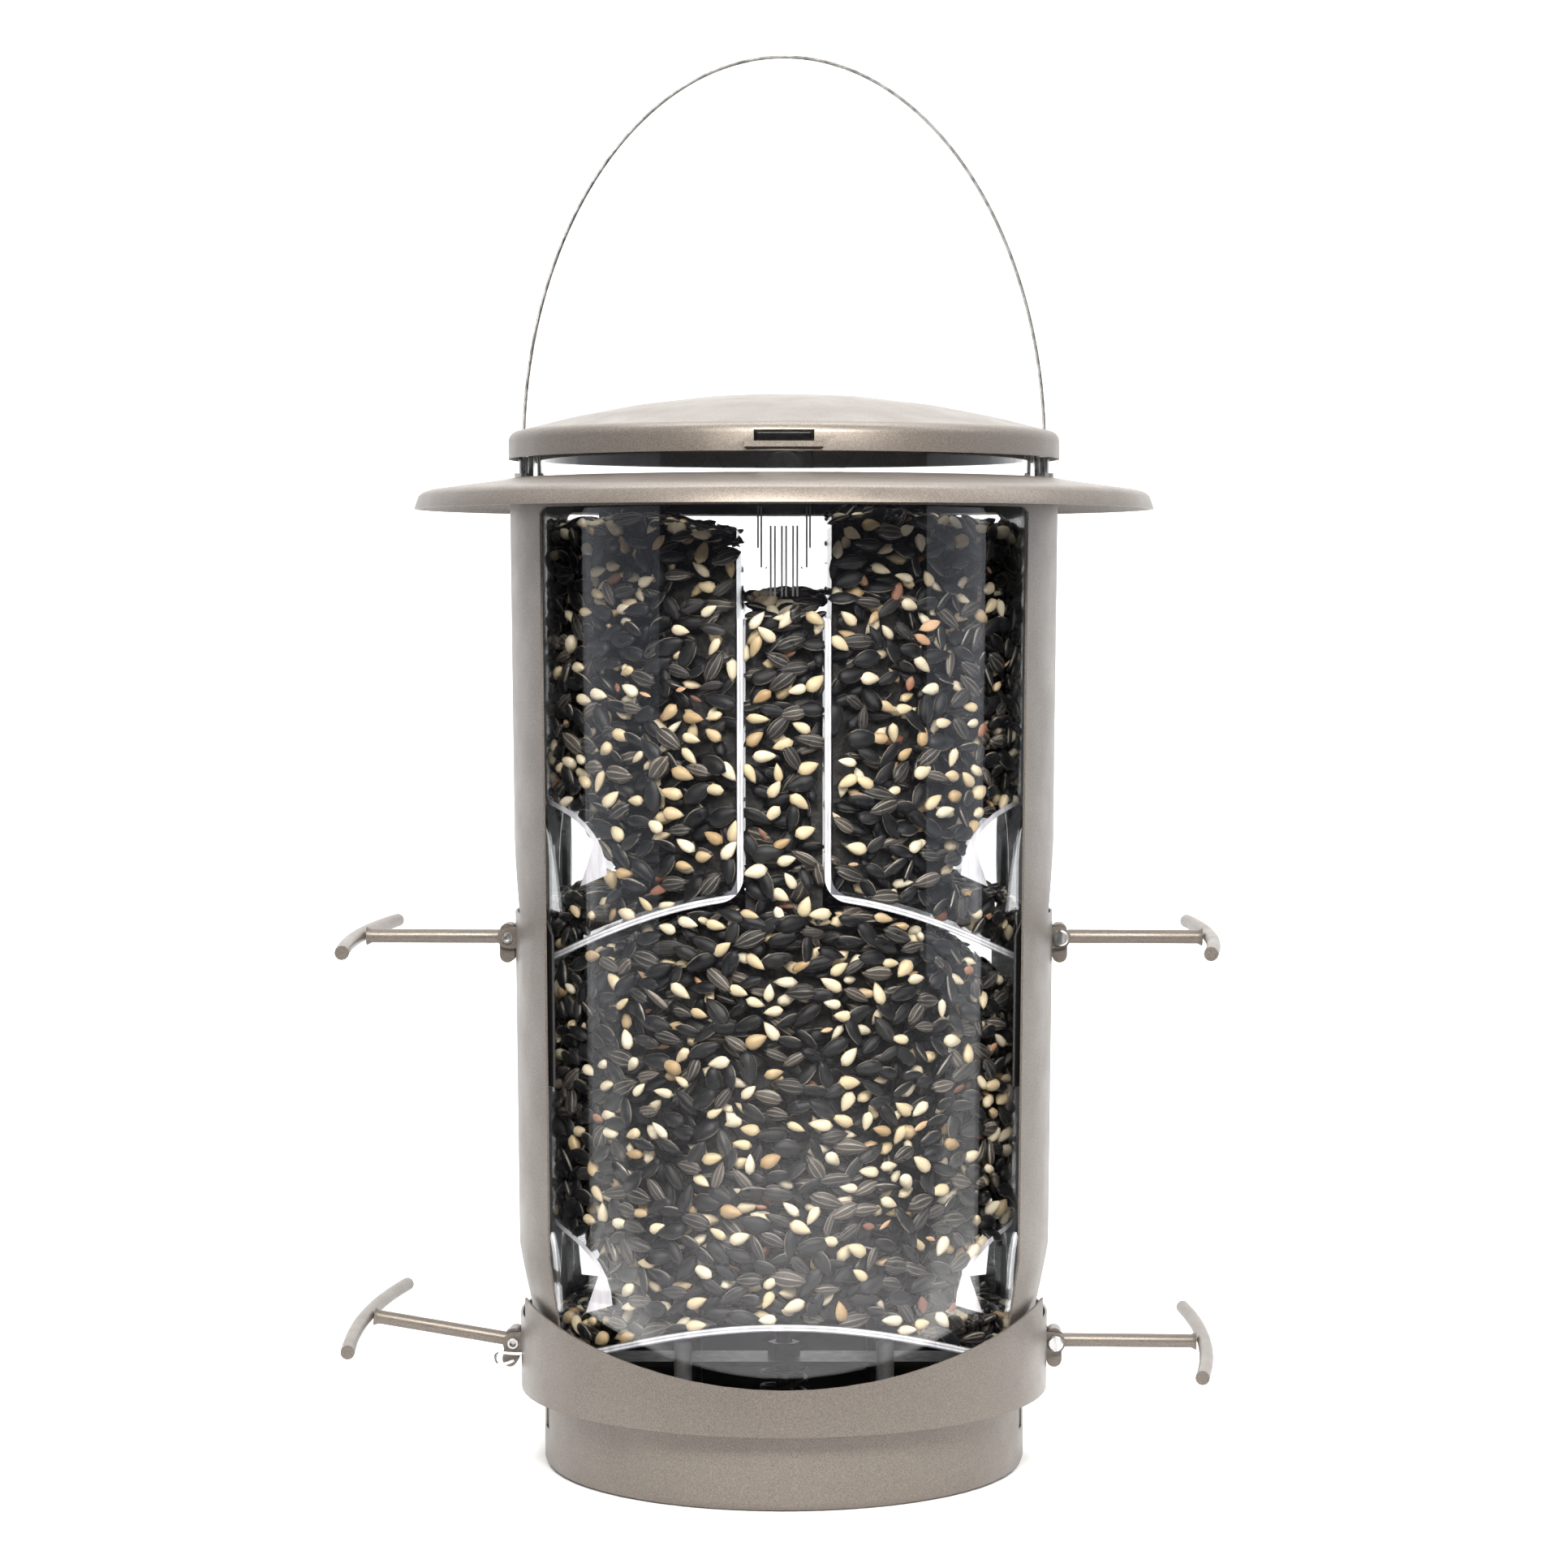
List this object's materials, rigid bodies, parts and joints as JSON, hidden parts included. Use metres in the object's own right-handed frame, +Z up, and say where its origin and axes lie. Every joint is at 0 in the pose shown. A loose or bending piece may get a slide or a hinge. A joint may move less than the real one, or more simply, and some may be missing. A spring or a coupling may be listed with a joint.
{
  "type": "hanging hopper bird feeder",
  "caption": "Hanging clear hopper feeder with a spring-held metal shroud that drops to close the side ports, folding T perches, brim, domed lid and cable hanger.",
  "frame": {"origin": "centre of the base cup's underside", "axes": "+Z up along the hopper's axis, the perches stand out along X, and the lid's latch faces -Y"},
  "size_m": [0.3087, 0.2608, 0.498],
  "materials": {
    "paint": "fine taupe metallic powder coat, satin",
    "clear": "clear moulded polycarbonate, glossy",
    "steel": "zinc plated",
    "cable": "stranded galvanised wire rope",
    "post": "moulded black plastic"
  },
  "bodies": {
    "hopper": {"back_shell": "clear", "base_cup": "paint", "cable_ferrule_left": "steel", "cable_ferrule_right": "steel", "chute_left": "clear", "chute_right": "clear", "floor_arch": "clear", "floor_post_back_left": "post", "floor_post_back_right": "post", "floor_post_front_left": "post", "floor_post_front_right": "post", "front_shell": "clear", "guide_post": "steel", "hanger_bracket_left": "steel", "hanger_bracket_right": "steel", "hanger_cable": "cable", "latch_guide": "clear", "port_hood_lower_left": "clear", "port_hood_lower_right": "clear", "port_hood_upper_left": "clear", "port_hood_upper_right": "clear", "return_spring": "steel", "shell_screw_lower_left": "steel", "shell_screw_lower_right": "steel", "shell_screw_upper_left": "steel", "shell_screw_upper_right": "steel", "stop_nut": "steel"},
    "shroud": {"shroud_tube": "paint", "collar": "paint", "brim": "paint", "lift_bridge": "steel", "backing_plate_left": "paint", "backing_plate_right": "paint", "perch_bracket_upper_left": "paint", "perch_bracket_upper_right": "paint", "perch_bracket_lower_left": "paint", "perch_bracket_lower_right": "paint", "perch_pin_upper_left": "steel", "perch_pin_upper_right": "steel", "perch_pin_lower_left": "steel", "perch_pin_lower_right": "steel"},
    "lid": {"lid": "paint"},
    "latch": {"latch_tongue": "clear"},
    "lock_clip": {"hairpin_clip": "steel"},
    "perch_upper_left": {"perch_lug_upper_left": "paint", "perch_rod_upper_left": "paint", "perch_bar_upper_left": "paint"},
    "perch_upper_right": {"perch_lug_upper_right": "paint", "perch_rod_upper_right": "paint", "perch_bar_upper_right": "paint"},
    "perch_lower_left": {"perch_lug_lower_left": "paint", "perch_rod_lower_left": "paint", "perch_bar_lower_left": "paint"},
    "perch_lower_right": {"perch_lug_lower_right": "paint", "perch_rod_lower_right": "paint", "perch_bar_lower_right": "paint"}
  },
  "joints": [
    {"name": "shroud_slide", "type": "slide", "parent": "hopper", "child": "shroud", "axis": [0, 0, -1], "range_m": [0, 0.02], "stiffness_N_per_m": 300, "springref_m": -0.04, "deforming": ["return_spring"]},
    {"name": "lid_lift", "type": "slide", "parent": "hopper", "child": "lid", "axis": [0, 0, 1], "range_m": [0, 0.06]},
    {"name": "latch_press", "type": "hinge", "parent": "hopper", "child": "latch", "pos_m": [0, -0.0915, 0.317], "axis": [-1, 0, 0], "range_deg": [0, 2.2], "stiffness_Nm_per_rad": 1.5},
    {"name": "lock_clip_pull", "type": "slide", "parent": "shroud", "child": "lock_clip", "axis": [-1, 0, 0], "range_m": [0, 0.02]},
    {"name": "perch_fold_upper_left", "type": "hinge", "parent": "shroud", "child": "perch_upper_left", "pos_m": [-0.09793, 0, 0.187], "axis": [0, 1, 0], "range_deg": [0, 78]},
    {"name": "perch_fold_upper_right", "type": "hinge", "parent": "shroud", "child": "perch_upper_right", "pos_m": [0.09793, 0, 0.187], "axis": [0, -1, 0], "range_deg": [0, 78]},
    {"name": "perch_fold_lower_left", "type": "hinge", "parent": "shroud", "child": "perch_lower_left", "pos_m": [-0.09652, 0, 0.0423], "axis": [0, 1, 0], "range_deg": [-9, 69]},
    {"name": "perch_fold_lower_right", "type": "hinge", "parent": "shroud", "child": "perch_lower_right", "pos_m": [0.09652, 0, 0.0423], "axis": [0, -1, 0], "range_deg": [0, 78]}
  ]
}
